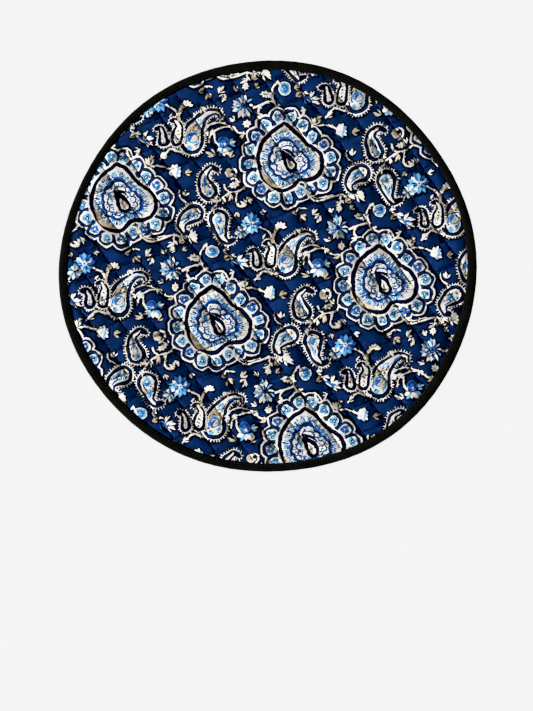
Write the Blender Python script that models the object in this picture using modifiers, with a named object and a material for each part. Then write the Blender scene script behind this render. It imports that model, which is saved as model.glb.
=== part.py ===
"""Round quilted cotton placemat with a folded bias binding, lying flat.

Lengths are in metres and +Z is up. The origin is under the middle of the mat, on the surface
that it lies on. Two pieces are built: the quilted panel, whose top is raised into rhombus-shaped
puffs between its lines of stitching, and the binding folded over the panel's edge.
"""

from math import atan2, cos, hypot, pi, radians, sin, tau

import bmesh
import bpy

MM = 0.001

# Outline, as seen from above. The edge is cut by hand, so it departs from a circle in slow waves.
MEAN_RADIUS = 190 * MM
RIM_WAVES = (
    # waves in one turn, height, direction of a crest in degrees
    (2, 1.0 * MM, 4),
    (3, 1.4 * MM, -37),
    (4, 0.3 * MM, 16),
    (6, 0.8 * MM, 7),
)

# Binding: a strip folded over the panel's edge, a little wider in some places than in others.
BINDING_WIDTH = 8.2 * MM
BINDING_WIDTH_WAVES = (
    (1, 0.65 * MM, -20),
    (3, 0.75 * MM, -31),
)
BINDING_THICKNESS = 3.4 * MM
BINDING_WALL = 0.8 * MM
BINDING_CROWN = 0.35 * MM
BINDING_STEPS = 120
FOLD_STEPS = 6

# Panel. Its edge is pressed thin inside the binding, and FIT_GAP keeps the two pieces apart.
FIT_GAP = 0.3 * MM
STITCHED_THICKNESS = 2.6 * MM
EDGE_UNDERSIDE = BINDING_WALL + FIT_GAP
EDGE_TOP = BINDING_THICKNESS - BINDING_WALL - FIT_GAP
EDGE_DEPTH = 1.6 * MM
PANEL_STEPS = 144
BEYOND = 10 * MM

# Quilting: two sets of parallel stitch lines that cross in rhombi.
QUILT_LINES = (
    # direction across the lines in degrees, spacing, share of a spacing from the origin to a line
    (36.3, 23.6 * MM, 0.11),
    (108.1, 23.6 * MM, 0.78),
)
PUFF_HEIGHT = 2.5 * MM
PUFF_ROUNDNESS = 0.55
PUFF_UNEVENNESS = 0.12
PUFF_STEPS = 4
RIM_FADE = 9 * MM
STITCH_WANDER = 0.7 * MM
WANDER_LENGTH = 95 * MM

PRINT_BLUE = (0.006, 0.035, 0.19, 1.0)
TAPE_BLACK = (0.008, 0.007, 0.006, 1.0)


def clear_scene():
    for old in list(bpy.data.objects):
        bpy.data.objects.remove(old, do_unlink=True)


def new_collection(name, shown=True):
    collection = bpy.data.collections.new(name)
    collection.hide_render = not shown
    bpy.context.scene.collection.children.link(collection)
    return collection


def cloth_material(name, colour, roughness):
    material = bpy.data.materials.new(name)
    material.use_nodes = True
    shader = material.node_tree.nodes["Principled BSDF"]
    shader.inputs["Base Color"].default_value = colour
    shader.inputs["Roughness"].default_value = roughness
    shader.inputs["Metallic"].default_value = 0.0
    material.diffuse_color = colour
    return material


def add_object(name, mesh, collection):
    piece = bpy.data.objects.new(name, mesh)
    collection.objects.link(piece)
    return piece


def bake_modifiers(piece):
    """Replaces the piece's mesh by the one its modifiers make."""
    graph = bpy.context.evaluated_depsgraph_get()
    mesh = bpy.data.meshes.new_from_object(piece.evaluated_get(graph))
    piece.modifiers.clear()
    piece.data = mesh


# Outline


def waves_at(waves, angle):
    return sum(height * cos(count * (angle - radians(crest))) for count, height, crest in waves)


def rim_radius(angle):
    return MEAN_RADIUS + waves_at(RIM_WAVES, angle)


def binding_width(angle):
    return BINDING_WIDTH + waves_at(BINDING_WIDTH_WAVES, angle)


def body_inset(angle):
    """How far inside the rim the panel's full thickness starts, just clear of the binding."""
    return binding_width(angle) + FIT_GAP


def tongue_inset(angle):
    """How far inside the rim the panel's pressed edge ends, within the fold."""
    return EDGE_DEPTH


def middle_of_outline():
    """The middle of the outline's box, which becomes the origin."""
    angles = [tau * step / 720 for step in range(720)]
    xs = [rim_radius(angle) * cos(angle) for angle in angles]
    ys = [rim_radius(angle) * sin(angle) for angle in angles]
    return (min(xs) + max(xs)) / 2, (min(ys) + max(ys)) / 2


def edge_points(inset):
    """Points round the mat, a given distance inside the rim; inset is a function of the angle."""
    points = []
    for step in range(PANEL_STEPS):
        angle = tau * step / PANEL_STEPS
        radius = rim_radius(angle) - inset(angle)
        points.append((radius * cos(angle), radius * sin(angle)))
    return points


def plate(name, outlines, low, high, collection):
    """A flat plate between two heights. A second outline inside the first is a hole."""
    curve = bpy.data.curves.new(name, "CURVE")
    curve.dimensions = "2D"
    curve.fill_mode = "BOTH"
    curve.extrude = (high - low) / 2
    for outline in outlines:
        spline = curve.splines.new("POLY")
        spline.points.add(len(outline) - 1)
        for point, (x, y) in zip(spline.points, outline):
            point.co = (x, y, 0.0, 1.0)
        spline.use_cyclic_u = True
    drawn = add_object(name + "_outline", curve, collection)
    graph = bpy.context.evaluated_depsgraph_get()
    mesh = bpy.data.meshes.new_from_object(drawn.evaluated_get(graph))
    bpy.data.objects.remove(drawn, do_unlink=True)
    weld = bmesh.new()
    weld.from_mesh(mesh)
    bmesh.ops.remove_doubles(weld, verts=weld.verts, dist=0.01 * MM)
    bmesh.ops.translate(weld, verts=weld.verts, vec=(0, 0, (low + high) / 2))
    bmesh.ops.recalc_face_normals(weld, faces=weld.faces)
    weld.to_mesh(mesh)
    weld.free()
    piece = add_object(name, mesh, collection)
    piece.hide_render = True
    piece.display_type = "WIRE"
    return piece


# Quilting


def wander(x, y, family):
    """How far a hand-guided stitch line strays sideways at a point."""
    along = (x, y)[1 - family] / WANDER_LENGTH
    across = (x, y)[family] / WANDER_LENGTH
    return STITCH_WANDER * sin(tau * along + 2.1 * across + family)


def stitch_count(x, y, family):
    """Position across one set of stitch lines, counted in spacings: whole numbers are lines."""
    direction, spacing, start = QUILT_LINES[family]
    across = x * cos(radians(direction)) + y * sin(radians(direction))
    return (across + wander(x, y, family)) / spacing - start


def point_between_lines(first_count, second_count):
    """The point of the cloth with these two positions across the two sets of lines."""
    (turn_1, spacing_1, start_1), (turn_2, spacing_2, start_2) = QUILT_LINES
    cos_1, sin_1 = cos(radians(turn_1)), sin(radians(turn_1))
    cos_2, sin_2 = cos(radians(turn_2)), sin(radians(turn_2))
    slant = cos_1 * sin_2 - sin_1 * cos_2
    x = y = 0.0
    for _ in range(6):
        across_1 = (first_count + start_1) * spacing_1 - wander(x, y, 0)
        across_2 = (second_count + start_2) * spacing_2 - wander(x, y, 1)
        x = (across_1 * sin_2 - across_2 * sin_1) / slant
        y = (across_2 * cos_1 - across_1 * cos_2) / slant
    return x, y


def puff(x, y):
    """Height of the wadding above the stitch lines: rounded in each rhombus, flat at the rim."""
    first, second = stitch_count(x, y, 0), stitch_count(x, y, 1)
    rise = (abs(sin(pi * first)) * abs(sin(pi * second))) ** PUFF_ROUNDNESS
    fullness = 1 + PUFF_UNEVENNESS * sin(1.9 * (first // 1) + 2.7 * (second // 1))
    angle = atan2(y, x)
    inside = rim_radius(angle) - body_inset(angle) - hypot(x, y)
    fade = min(max(inside / RIM_FADE, 0.0), 1.0)
    return PUFF_HEIGHT * rise * fullness * sin(fade * pi / 2)


def build_panel(parts, cutters):
    """The quilted cloth: a plate with a grid along the stitch lines, cut round, then puffed up."""
    reach = MEAN_RADIUS / min(spacing for _, spacing, _ in QUILT_LINES)
    lines = int(reach) + 1
    steps = 2 * lines * PUFF_STEPS
    cloth = bmesh.new()
    bmesh.ops.create_grid(cloth, x_segments=steps, y_segments=steps, size=lines)
    for vertex in cloth.verts:
        x, y = point_between_lines(vertex.co.x, vertex.co.y)
        vertex.co = (x, y, STITCHED_THICKNESS)
    rim = [edge for edge in cloth.edges if edge.is_boundary]
    wall = bmesh.ops.extrude_edge_only(cloth, edges=rim)["geom"]
    lower = [item for item in wall if isinstance(item, bmesh.types.BMVert)]
    for vertex in lower:
        vertex.co.z = 0.0
    open_edges = [edge for edge in cloth.edges if edge.is_boundary]
    bmesh.ops.contextual_create(cloth, geom=open_edges)
    bmesh.ops.recalc_face_normals(cloth, faces=cloth.faces)
    mesh = bpy.data.meshes.new("quilted_panel")
    cloth.to_mesh(mesh)
    cloth.free()
    panel = add_object("quilted_panel", mesh, parts)

    far_outline = [(2 * x, 2 * y) for x, y in edge_points(tongue_inset)]
    around_body = [far_outline, edge_points(body_inset)]
    cuts = (
        ("INTERSECT", plate("round_cut", [edge_points(tongue_inset)], -BEYOND, BEYOND, cutters)),
        ("DIFFERENCE", plate("lower_step", around_body, -BEYOND, EDGE_UNDERSIDE, cutters)),
        ("DIFFERENCE", plate("upper_step", around_body, EDGE_TOP, BEYOND, cutters)),
    )
    for operation, cutter in cuts:
        cut = panel.modifiers.new(cutter.name, "BOOLEAN")
        cut.object = cutter
        cut.operation = operation
        cut.solver = "EXACT"
    bake_modifiers(panel)
    for vertex in panel.data.vertices:
        if vertex.co.z > STITCHED_THICKNESS - 0.01 * MM:
            vertex.co.z = STITCHED_THICKNESS + puff(vertex.co.x, vertex.co.y)
    panel.data.shade_smooth()
    panel.data.set_sharp_from_angle(angle=radians(50))
    panel.data.materials.clear()
    panel.data.materials.append(cloth_material("printed_cotton", PRINT_BLUE, 0.9))
    return panel


# Binding


def binding_section():
    """The folded strip's section, as (share of the width, depth from the rim, height) points.

    A point's distance inside the rim is its share of the local width plus its depth.
    """
    middle = BINDING_THICKNESS / 2
    outside = [(1.0, 0.0, BINDING_THICKNESS)]
    outside.append((0.5, 0.0, BINDING_THICKNESS + BINDING_CROWN))
    for step in range(FOLD_STEPS + 1):
        turn = pi * step / FOLD_STEPS
        outside.append((0.0, middle * (1 - sin(turn)), middle * (1 + cos(turn))))
    outside.append((1.0, 0.0, 0.0))
    pocket = EDGE_DEPTH - FIT_GAP
    inside = [
        (1.0, 0.0, BINDING_WALL),
        (0.0, pocket, BINDING_WALL),
        (0.0, pocket, BINDING_THICKNESS - BINDING_WALL),
        (1.0, 0.0, BINDING_THICKNESS - BINDING_WALL),
    ]
    return outside + inside


def build_binding(parts):
    """The bias tape: its folded section turned once round, then moved out to the waved rim."""
    section = binding_section()
    profile = bmesh.new()
    corners = []
    for share, depth, height in section:
        inset = share * BINDING_WIDTH + depth
        corners.append(profile.verts.new((MEAN_RADIUS - inset, 0.0, height)))
    for corner, following in zip(corners, corners[1:] + corners[:1]):
        profile.edges.new((corner, following))
    mesh = bpy.data.meshes.new("edge_binding")
    profile.to_mesh(mesh)
    profile.free()
    binding = add_object("edge_binding", mesh, parts)
    turn = binding.modifiers.new("turn", "SCREW")
    turn.steps = BINDING_STEPS
    turn.render_steps = BINDING_STEPS
    turn.use_merge_vertices = True
    turn.merge_threshold = 0.00001
    bake_modifiers(binding)
    for vertex in binding.data.vertices:
        radius = hypot(vertex.co.x, vertex.co.y)
        angle = atan2(vertex.co.y, vertex.co.x)
        share = (MEAN_RADIUS - radius) / BINDING_WIDTH
        extra_width = binding_width(angle) - BINDING_WIDTH
        new_radius = radius + waves_at(RIM_WAVES, angle) - share * extra_width
        vertex.co.x *= new_radius / radius
        vertex.co.y *= new_radius / radius
    binding.data.shade_smooth()
    binding.data.set_sharp_from_angle(angle=radians(40))
    binding.data.materials.append(cloth_material("bias_tape", TAPE_BLACK, 0.95))
    return binding


def main():
    clear_scene()
    parts = new_collection("placemat")
    cutters = new_collection("cutters", shown=False)
    shift_x, shift_y = middle_of_outline()
    for piece in (build_panel(parts, cutters), build_binding(parts)):
        piece.location = (-shift_x, -shift_y, 0.0)


main()
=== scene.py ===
# %% [markdown]
# # A round quilted placemat
#
# This lesson dresses a round cotton placemat that lies flat on a pale table. The real thing is a
# sandwich: a top cloth block-printed with paisleys, a thin layer of wadding and a plain backing,
# machine-quilted along two sets of slanting lines and bound round the edge with black bias tape.
# The solids of the two sewn pieces come from the frame. Everything here is in metres, in the
# frame's own place, so a finer piece goes exactly where the plain solid is.

# %% Load the frame
from itertools import product

import bpy
import numpy as np
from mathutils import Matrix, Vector
from mathutils.geometry import delaunay_2d_cdt


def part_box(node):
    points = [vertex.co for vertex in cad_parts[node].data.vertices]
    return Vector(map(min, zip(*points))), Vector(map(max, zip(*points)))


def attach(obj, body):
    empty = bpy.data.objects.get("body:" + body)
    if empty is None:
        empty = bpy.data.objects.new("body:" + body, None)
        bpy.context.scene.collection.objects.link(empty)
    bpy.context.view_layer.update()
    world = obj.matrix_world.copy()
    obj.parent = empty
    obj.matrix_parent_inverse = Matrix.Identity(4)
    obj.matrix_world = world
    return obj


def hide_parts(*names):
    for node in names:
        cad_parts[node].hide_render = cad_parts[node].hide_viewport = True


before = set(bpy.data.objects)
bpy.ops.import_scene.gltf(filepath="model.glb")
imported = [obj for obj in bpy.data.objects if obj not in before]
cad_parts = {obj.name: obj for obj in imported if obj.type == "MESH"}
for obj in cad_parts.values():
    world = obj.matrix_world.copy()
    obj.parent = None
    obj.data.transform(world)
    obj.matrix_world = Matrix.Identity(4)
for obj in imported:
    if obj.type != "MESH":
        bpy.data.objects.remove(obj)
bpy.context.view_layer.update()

MM = 0.001
TURN = 2 * np.pi

print("solid pieces:", ", ".join(sorted(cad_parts)))

# %% [markdown]
# ## The outline
#
# The edge is cut by hand round a plate or a paper pattern, so it isn't a true circle. A few slow
# waves round the rim say this in four short rows, where a list of edge points would need dozens.
# The binding is folded and sewn by hand too, so its width has waves of its own.

# %% Rim and binding width as functions of the direction
MEAN_RADIUS = 190 * MM
RIM_WAVES = (
    # waves in one turn, height, direction of a crest in degrees
    (2, 1.0 * MM, 4),
    (3, 1.4 * MM, -37),
    (4, 0.3 * MM, 16),
    (6, 0.8 * MM, 7),
)
BINDING_WIDTH = 8.2 * MM
BINDING_WIDTH_WAVES = (
    (1, 0.65 * MM, -20),
    (3, 0.75 * MM, -31),
)


def rays(angle):
    """Unit vectors in directions given in radians."""
    return np.stack([np.cos(angle), np.sin(angle)], axis=-1)


def waves_at(waves, angle):
    """Sum of the waves in a direction, which may be an array of directions."""
    total = np.zeros_like(angle)
    for count, height, crest in waves:
        total = total + height * np.cos(count * (angle - np.radians(crest)))
    return total


def rim_radius(angle):
    return MEAN_RADIUS + waves_at(RIM_WAVES, angle)


def binding_width(angle):
    return BINDING_WIDTH + waves_at(BINDING_WIDTH_WAVES, angle)


def tape_lip(angle):
    """Distance from the hub to the inner edge of the tape."""
    return rim_radius(angle) - binding_width(angle)


round_trip = np.linspace(0, TURN, 721)
drawn = rim_radius(round_trip)[:, None] * rays(round_trip)
# The waves are measured from this point, and the middle of the outline's box is the origin.
HUB = -(drawn.min(axis=0) + drawn.max(axis=0)) / 2


def polar(points):
    """Direction and distance from the hub of points given as an array of (x, y) rows."""
    x, y = (points - HUB).T
    return np.arctan2(y, x), np.hypot(x, y)


def around(inset, steps):
    """Points round the mat, a given distance inside the rim."""
    angle = np.linspace(0, TURN, steps, endpoint=False)
    return HUB + (rim_radius(angle) - inset(angle))[:, None] * rays(angle)


low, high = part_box("edge_binding")
drawn_size = np.ptp(drawn, axis=0) / MM
print(f"drawn outline {drawn_size[0]:.1f} x {drawn_size[1]:.1f} mm,",
      f"solid {(high[0] - low[0]) / MM:.1f} x {(high[1] - low[1]) / MM:.1f} mm")

# %% [markdown]
# ## The quilting
#
# Two sets of straight seams cross at a slant and part the mat into rhombi. Between them the
# wadding pushes the cloth up into low puffs. The seams could be modelled as grooves cut into a
# slab, but a height formula is better here: it gives a height and a slope for any point, so the
# print and its stitches can be laid on the very same surface.

# %% Where a point lies between the seams
QUILT_SEAMS = (
    # direction across the seams in degrees, spacing, share of a spacing from the hub to a seam
    (36.3, 23.6 * MM, 0.125),
    (108.1, 23.6 * MM, 0.78),
)
SEAM_WANDER = 0.7 * MM
WANDER_LENGTH = 95 * MM
WANDER_SLANT = 2.1


def seam_count(points, family):
    """Position across one set of seams, counted in spacings: whole numbers lie on a seam."""
    x, y = (points - HUB).T
    direction, spacing, start = QUILT_SEAMS[family]
    along = (x, y)[1 - family] / WANDER_LENGTH
    across = (x, y)[family] / WANDER_LENGTH
    wander = SEAM_WANDER * np.sin(TURN * along + WANDER_SLANT * across + family)
    turn = np.radians(direction)
    return (x * np.cos(turn) + y * np.sin(turn) + wander) / spacing - start


def off_seam(points, family):
    """The number of the nearest seam of a set, and the distance to it."""
    count = seam_count(points, family)
    return np.round(count), np.abs(count - np.round(count)) * QUILT_SEAMS[family][1]


# %% Height of the printed cloth
STITCHED_THICKNESS = 2.6 * MM
PUFF_HEIGHT = 2.5 * MM
PUFF_ROUNDNESS = (0.95, 0.5)
PUFF_UNEVENNESS = 0.12
UNEVEN_STEPS = (1.9, 2.7)
RIM_FADE = 9 * MM
FIT_GAP = 0.3 * MM


def top_height(points):
    """Height of the printed cloth over the table."""
    first, second = seam_count(points, 0), seam_count(points, 1)
    rise = np.abs(np.sin(np.pi * first)) ** PUFF_ROUNDNESS[0]
    rise = rise * np.abs(np.sin(np.pi * second)) ** PUFF_ROUNDNESS[1]
    uneven = np.sin(UNEVEN_STEPS[0] * np.floor(first) + UNEVEN_STEPS[1] * np.floor(second))
    angle, radius = polar(points)
    inside = tape_lip(angle) - FIT_GAP - radius
    fade = np.sin(np.clip(inside / RIM_FADE, 0, 1) * np.pi / 2)
    return STITCHED_THICKNESS + PUFF_HEIGHT * rise * (1 + PUFF_UNEVENNESS * uneven) * fade


SLOPE_STEP = 0.35 * MM


def slopes(height_of, points):
    """Slope along X and along Y of a height formula, by stepping a little each way."""
    step_x, step_y = np.array([SLOPE_STEP, 0]), np.array([0, SLOPE_STEP])
    along_x = height_of(points + step_x) - height_of(points - step_x)
    along_y = height_of(points + step_y) - height_of(points - step_y)
    return np.stack([along_x, along_y], axis=1) / (2 * SLOPE_STEP)


samples = around(lambda angle: 60 * MM + 20 * MM * np.sin(7 * angle), 400)
print(f"puffs stand {np.ptp(top_height(samples)) / MM:.1f} mm above the seams")

# %% [markdown]
# ## Tools to draw with
#
# The print is an old kind: a wooden block is cut with paisleys, flowers and vines, inked and
# stamped over and over. Drawing it as an image would tie it to a number of pixels. Here each
# shape is a closed outline, in millimetres, from a few tools: a disc with or without lobes, a
# strip that follows a path, and a row of teeth. Shapes are kept in the order in which they are
# painted, so a later one covers an earlier one. Every outline runs anticlockwise, so that the
# left of its edge is always its inside.

# %% Curves, strips and discs
DYES = ("ground", "ink", "cream", "tan", "sky", "blue", "teal")


def smooth(points, steps):
    """A soft curve through the points, with that many steps between two of them."""
    points = np.asarray(points, float)
    first, last = 2 * points[:1] - points[1:2], 2 * points[-1:] - points[-2:-1]
    guide = np.concatenate([first, points, last])
    t = np.linspace(0, 1, steps, endpoint=False)[:, None]
    stretches = []
    for a, b, c, d in zip(guide, guide[1:], guide[2:], guide[3:]):
        bend = (2 * a - 5 * b + 4 * c - d) * t**2 + (3 * b - a - 3 * c + d) * t**3
        stretches.append(b + 0.5 * ((c - a) * t + bend))
    return np.concatenate([*stretches, points[-1:]])


def left_of(ahead):
    """Unit vectors to the left of steps given as (x, y) rows."""
    ahead = ahead / np.maximum(np.linalg.norm(ahead, axis=1), 1e-9)[:, None]
    return np.stack([-ahead[:, 1], ahead[:, 0]], axis=1)


def normals_of(path, closed=False):
    """Unit vectors to the left of a path at each of its points."""
    if closed:
        return left_of(np.roll(path, -1, axis=0) - np.roll(path, 1, axis=0))
    return left_of(np.gradient(path, axis=0))


def strip(path, half_widths):
    """The outline of a band along a path."""
    side = normals_of(path) * np.asarray(half_widths)[:, None]
    return np.concatenate([path - side, (path + side)[::-1]])


def disc(centre, radius, sides=12, lobes=0, depth=0.0, turn=0.0):
    """A disc, whose edge may have lobes. Turn is the angle of the first lobe."""
    angle = np.linspace(0, TURN, sides, endpoint=False)
    reach = radius * (1 + depth * np.cos(lobes * (angle - turn)))
    return np.asarray(centre) + rays(angle) * reach[:, None]


def toward(direction, reach):
    """A step of that length in a direction given in degrees."""
    return reach * rays(np.radians(direction))


# %% Leaves, petals and commas
TIP_THINNING = 0.45
SPINE_STEPS = 4


def leaf(root, tip, width, fullest=0.5, bend=0.0, steps=6):
    """A shape pointed at both ends: fullest is the share of its length where it is widest."""
    root, tip = np.asarray(root, float), np.asarray(tip, float)
    share = np.linspace(0, 1, steps)
    across = np.array([root[1] - tip[1], tip[0] - root[0]])
    path = root + np.outer(share, tip - root) + np.outer(np.sin(np.pi * share) * bend, across)
    half = width / 2 * np.sin(np.pi * share ** (np.log(0.5) / np.log(fullest)))
    return np.delete(strip(path, half), [steps - 1, -1], axis=0)


def spread(values, count):
    """A few values spread evenly over that many places."""
    return np.interp(np.linspace(0, 1, count), np.linspace(0, 1, len(values)), values)


def comma(spine, radii, grow=0.0):
    """A paisley's outline: round at the start of its spine, and drawn out to a thin curled tip."""
    path = smooth(spine, SPINE_STEPS)
    radius = spread(radii, len(path)) + grow * (1 - TIP_THINNING * np.linspace(0, 1, len(path)))
    side = normals_of(path) * radius[:, None]
    ahead = (path[-1] - path[-2]) / np.linalg.norm(path[-1] - path[-2])
    start = np.degrees(np.arctan2(*(path[1] - path[0])[::-1]))
    cap = [path[0] + toward(start + turn, radius[0]) for turn in range(120, 241, 30)]
    return np.concatenate([path - side, [path[-1] + ahead * radius[-1]], (path + side)[::-1], cap])


def spaced(path, spacing, closed=False):
    """Points at an even spacing along a path, with the unit vector to its left at each."""
    if closed:
        path = np.concatenate([path, path[:1]])
    run = np.concatenate([[0], np.cumsum(np.linalg.norm(np.diff(path, axis=0), axis=1))])
    count = max(2, int(round(run[-1] / spacing)))
    stops = np.linspace(0, run[-1], count, endpoint=False) + run[-1] / count / 2
    points, beyond = (
        np.stack([np.interp(stops + further, run, path[:, axis]) for axis in (0, 1)], axis=1)
        for further in (0, 0.05)
    )
    return points, left_of(beyond - points)


def grown(outline, amount):
    """The outline moved outward, or inward where the amount is negative."""
    return outline - normals_of(outline, closed=True) * np.asarray(amount).reshape(-1, 1)


def lobed(outline, count, depth):
    """The outline with that many soft lobes round it."""
    share = np.linspace(0, 1, len(outline), endpoint=False)
    return grown(outline, depth * np.abs(np.sin(np.pi * count * share)) - depth / 2)


print("drawing tools ready, dyes:", ", ".join(DYES))

# %% [markdown]
# ## The printing block
#
# One block holds a heart-shaped paisley in a ring of petals, a cluster of three curled paisleys,
# three small ones with a cut edge, and the flowers, buds and vines that fill the gaps. All of it
# is set out in millimetres from the middle of the heart. The motifs are this lesson's own drawing
# in that tradition, at the scale and in the colours of such cloth.

# %% Painting with a dye
DARK_EDGE = 1.9
HALO = 3.2
# The dark edges are printed by a block of their own, which slipped a little.
SLIP = np.array([0.4, -0.4])
STEM_STEPS = 3
STEM_WAVER = 0.24
# A stem's half width is its charted width divided by this, so that stems are a little thin.
HALVING = 2.2
SPUR_SPACING = 3.8
SPUR_LENGTH = 1.0
BROAD_LEAF = 5
TOOTH_SPACING = 2.4
TOOTH_WIDTH = 1.1
under, over = [], []


def paint(dye, outline, layer=over):
    layer.append((DYES.index(dye), np.asarray(outline, float)))


def blade(dye, *form, **more):
    paint(dye, leaf(*form, **more))


def dot(dye, *form):
    paint(dye, disc(*form))


def edged(root, tip, width, **form):
    """Paints a leaf's dark edge, and gives the leaf's ends back as arrays."""
    root, tip = np.asarray(root, float), np.asarray(tip, float)
    beyond = (tip - root) * DARK_EDGE / np.linalg.norm(tip - root)
    around_it = leaf(root - beyond + SLIP, tip + beyond + SLIP, width + 2 * DARK_EDGE, **form)
    paint("ink", around_it, under)
    return root, tip


def vine(points, start, end, dye="cream"):
    """A stem that tapers from one width to another, with the block's dark edge round it."""
    path = smooth(points, STEM_STEPS)
    waver = np.sin(2.1 * np.arange(len(path)))
    half = np.linspace(start, end, len(path)) / HALVING * (1 + STEM_WAVER * waver)
    paint("ink", strip(path + SLIP, half + DARK_EDGE * (1 - 0.3 * waver)), under)
    paint("tan", strip(path, half))
    spurs(path, half)
    paint(dye, strip(path - 0.25 * half[:, None] * SLIP, 0.8 * half))


def spurs(path, half):
    """Short thorns on both sides of a stem, where the cutter's tool slipped."""
    for place, (point, left) in enumerate(zip(*spaced(path, SPUR_SPACING))):
        way = left if place % 2 else -left
        back = np.array([left[1], -left[0]]) * 0.7
        root = point + way * half.mean() * 0.6
        reach = half.mean() * 0.6 + SPUR_LENGTH * (0.7 + 0.5 * np.sin(2.9 * place))
        thorn = [root - back, root + way * reach + 1.4 * back * np.cos(3.1 * place), root + back]
        paint("cream", thorn if place % 2 == 0 else thorn[::-1])


def sprig(root, tip, width, dye="cream", **form):
    """A leaf with a dark edge."""
    blade(dye, *edged(root, tip, width, **form), width, **form)


def ragged(root, tip, width, dye="cream", vein=None):
    """A small leaf with an uneven edge, toothed if it is broad, and a vein if a dye is named."""
    root, tip = edged(root, tip, width)
    ahead = tip - root
    if width > BROAD_LEAF:
        paint(dye, lobed(leaf(root, tip, width, steps=8), 7, 1.2))
    else:
        left = np.array([-ahead[1], ahead[0]]) / np.linalg.norm(ahead) * width
        side = 0.38 * width
        blade(dye, root, tip, 0.52 * width, 0.6, 0.08, 5)
        blade(dye, root, root + 0.78 * ahead + 0.66 * left, side, 0.6, 0.1, 4)
        blade(dye, root + 0.1 * ahead, root + 0.6 * ahead - 0.8 * left, side, 0.6, -0.1, 4)
    if vein:
        blade(vein, root + 0.2 * ahead, tip - 0.25 * ahead, 0.24 * width, steps=4)


def teeth(outline, length):
    """A row of small blunt cuts round the outside of an outline."""
    points, inward = spaced(outline, TOOTH_SPACING, closed=True)
    ahead = np.stack([inward[:, 1], -inward[:, 0]], axis=1) * TOOTH_WIDTH / 2
    root = points + 0.4 * inward
    for place, (point, back) in enumerate(zip(points, inward)):
        tip = point - length * (1 + 0.3 * np.sin(2.3 * place)) * back
        cut = (root[place] - ahead[place], tip - 0.6 * ahead[place], tip + 0.6 * ahead[place])
        paint("cream", [*cut, root[place] + ahead[place]])


def ticks(path, spacing, length, width, dyes):
    """Short brush marks that point outward from a closed path, in dyes that take turns."""
    for place, (point, inward) in enumerate(zip(*spaced(path, spacing, closed=True))):
        reach = length * (1 + 0.3 * np.sin(1.9 * place))
        lean = np.array([inward[1], -inward[0]]) * 0.4 * np.sin(2.7 * place)
        blade(dyes[place % len(dyes)], point, point - reach * inward + lean, width, 0.4, steps=4)


# %% The heart-shaped paisley
HEART_REACH = 30.0
# direction in degrees, length or depth in millimetres, breadth in degrees
HEART_TIP = (101, 5.6, 12)
HEART_HOLLOWS = (
    (50, 10.0, 38),
    (293, 10.0, 24),
)


def heart(scale=1.0, middle=(0, 0), steps=84):
    """A circle drawn out to a leaning tip, with a hollow flank on its right and a notch below."""
    direction, length, breadth = HEART_TIP
    turns = direction + np.linspace(0, 360, steps, endpoint=False)
    off = np.abs((turns - direction + 180) % 360 - 180)
    reach = HEART_REACH + length * np.exp(-off / breadth)
    for direction, depth, breadth in HEART_HOLLOWS:
        off = (turns - direction + 180) % 360 - 180
        reach = reach - depth * np.exp(-((off / breadth) ** 2))
    return np.array(middle) + rays(np.radians(turns)) * reach[:, None] * scale


def heart_filling():
    """Rings of leafy marks and scallops round a dark drop."""
    paint("cream", lobed(grown(heart(), 3.2), 31, 1.4))
    paint("ink", grown(heart(), 2.0))
    paint("cream", grown(heart(), -2.0))
    blade("tan", (8, 17), (20, -16), 5.6, 0.62, -0.30, 9)
    blade("tan", (-27.5, -9), (-5, -26), 5.0, 0.5, -0.15, 8)
    ticks(heart(0.74, (-1.8, -0.2)), 1.7, 3.6, 1.4, ("sky", "teal", "ground", "sky", "blue", "ink"))
    ticks(heart(0.66, (-1.6, -0.4)), 1.9, 4.2, 1.8, ("teal", "sky", "blue", "teal", "ground", "sky"))
    paint("blue", lobed(heart(0.68, (-1.2, -0.6)), 19, 1.6))
    paint("ground", lobed(heart(0.64, (-1.4, -0.6)), 13, 2.4))
    paint("cream", lobed(heart(0.55, (-1.6, -0.8)), 13, 1.8))
    ticks(heart(0.47, (-1.4, -1.0)), 2.0, 2.4, 1.4, ("sky", "ground", "blue", "cream", "ink"))
    scallop = lobed(heart(0.46, (-1.2, -1.4)), 11, 2.0)
    paint("ground", grown(scallop, 0.3))
    paint("blue", grown(scallop, -0.5))
    paint("cream", grown(scallop, -1.4))
    ticks(heart(0.30, (-1.2, -3)), 1.9, 2.9, 1.5, ("sky", "ground", "teal", "ink", "sky", "blue"))
    blade("ink", (-9.5, 9.5), (4.5, 2.0), 3.0, 0.5, 0.1)
    blade("teal", (-12.5, 8.5), (-9.0, -3.0), 2.4, 0.5, -0.1)
    ticks(heart(0.27, (-1, -4), 60), 2.2, 1.8, 1.3, ("ink", "sky", "ground"))
    drop = ((0.4, -6.6), (-2.4, -1.0), (-6.4, 4.6), (-9.6, 9.2))
    paint("ink", comma(drop, (6.0, 5.4, 3.0, 0.5)))
    paint("cream", comma(((0.6, -6.2), (-1.2, -3.0), (-3.6, 0.8)), (2.9, 2.4, 0.4)))
    blade("ink", (1.2, -8.4), (-2.6, -0.6), 2.0)
    blade("tan", (1.2, -7.4), (-2.0, -1.4), 1.0)


# %% The ring of petals round it
PETAL_SPACING = 13.6
RING_REACH = 8.4
RING_LAYERS = (
    # dye, reach round each petal's centre, reach round the heart
    ("ink", 11.8, 9.2),
    ("cream", 9.3, 6.7),
    ("ink", 8.0, 5.6),
    ("ground", 7.3, 4.8),
    ("ink", 6.0, 3.0),
)


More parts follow.
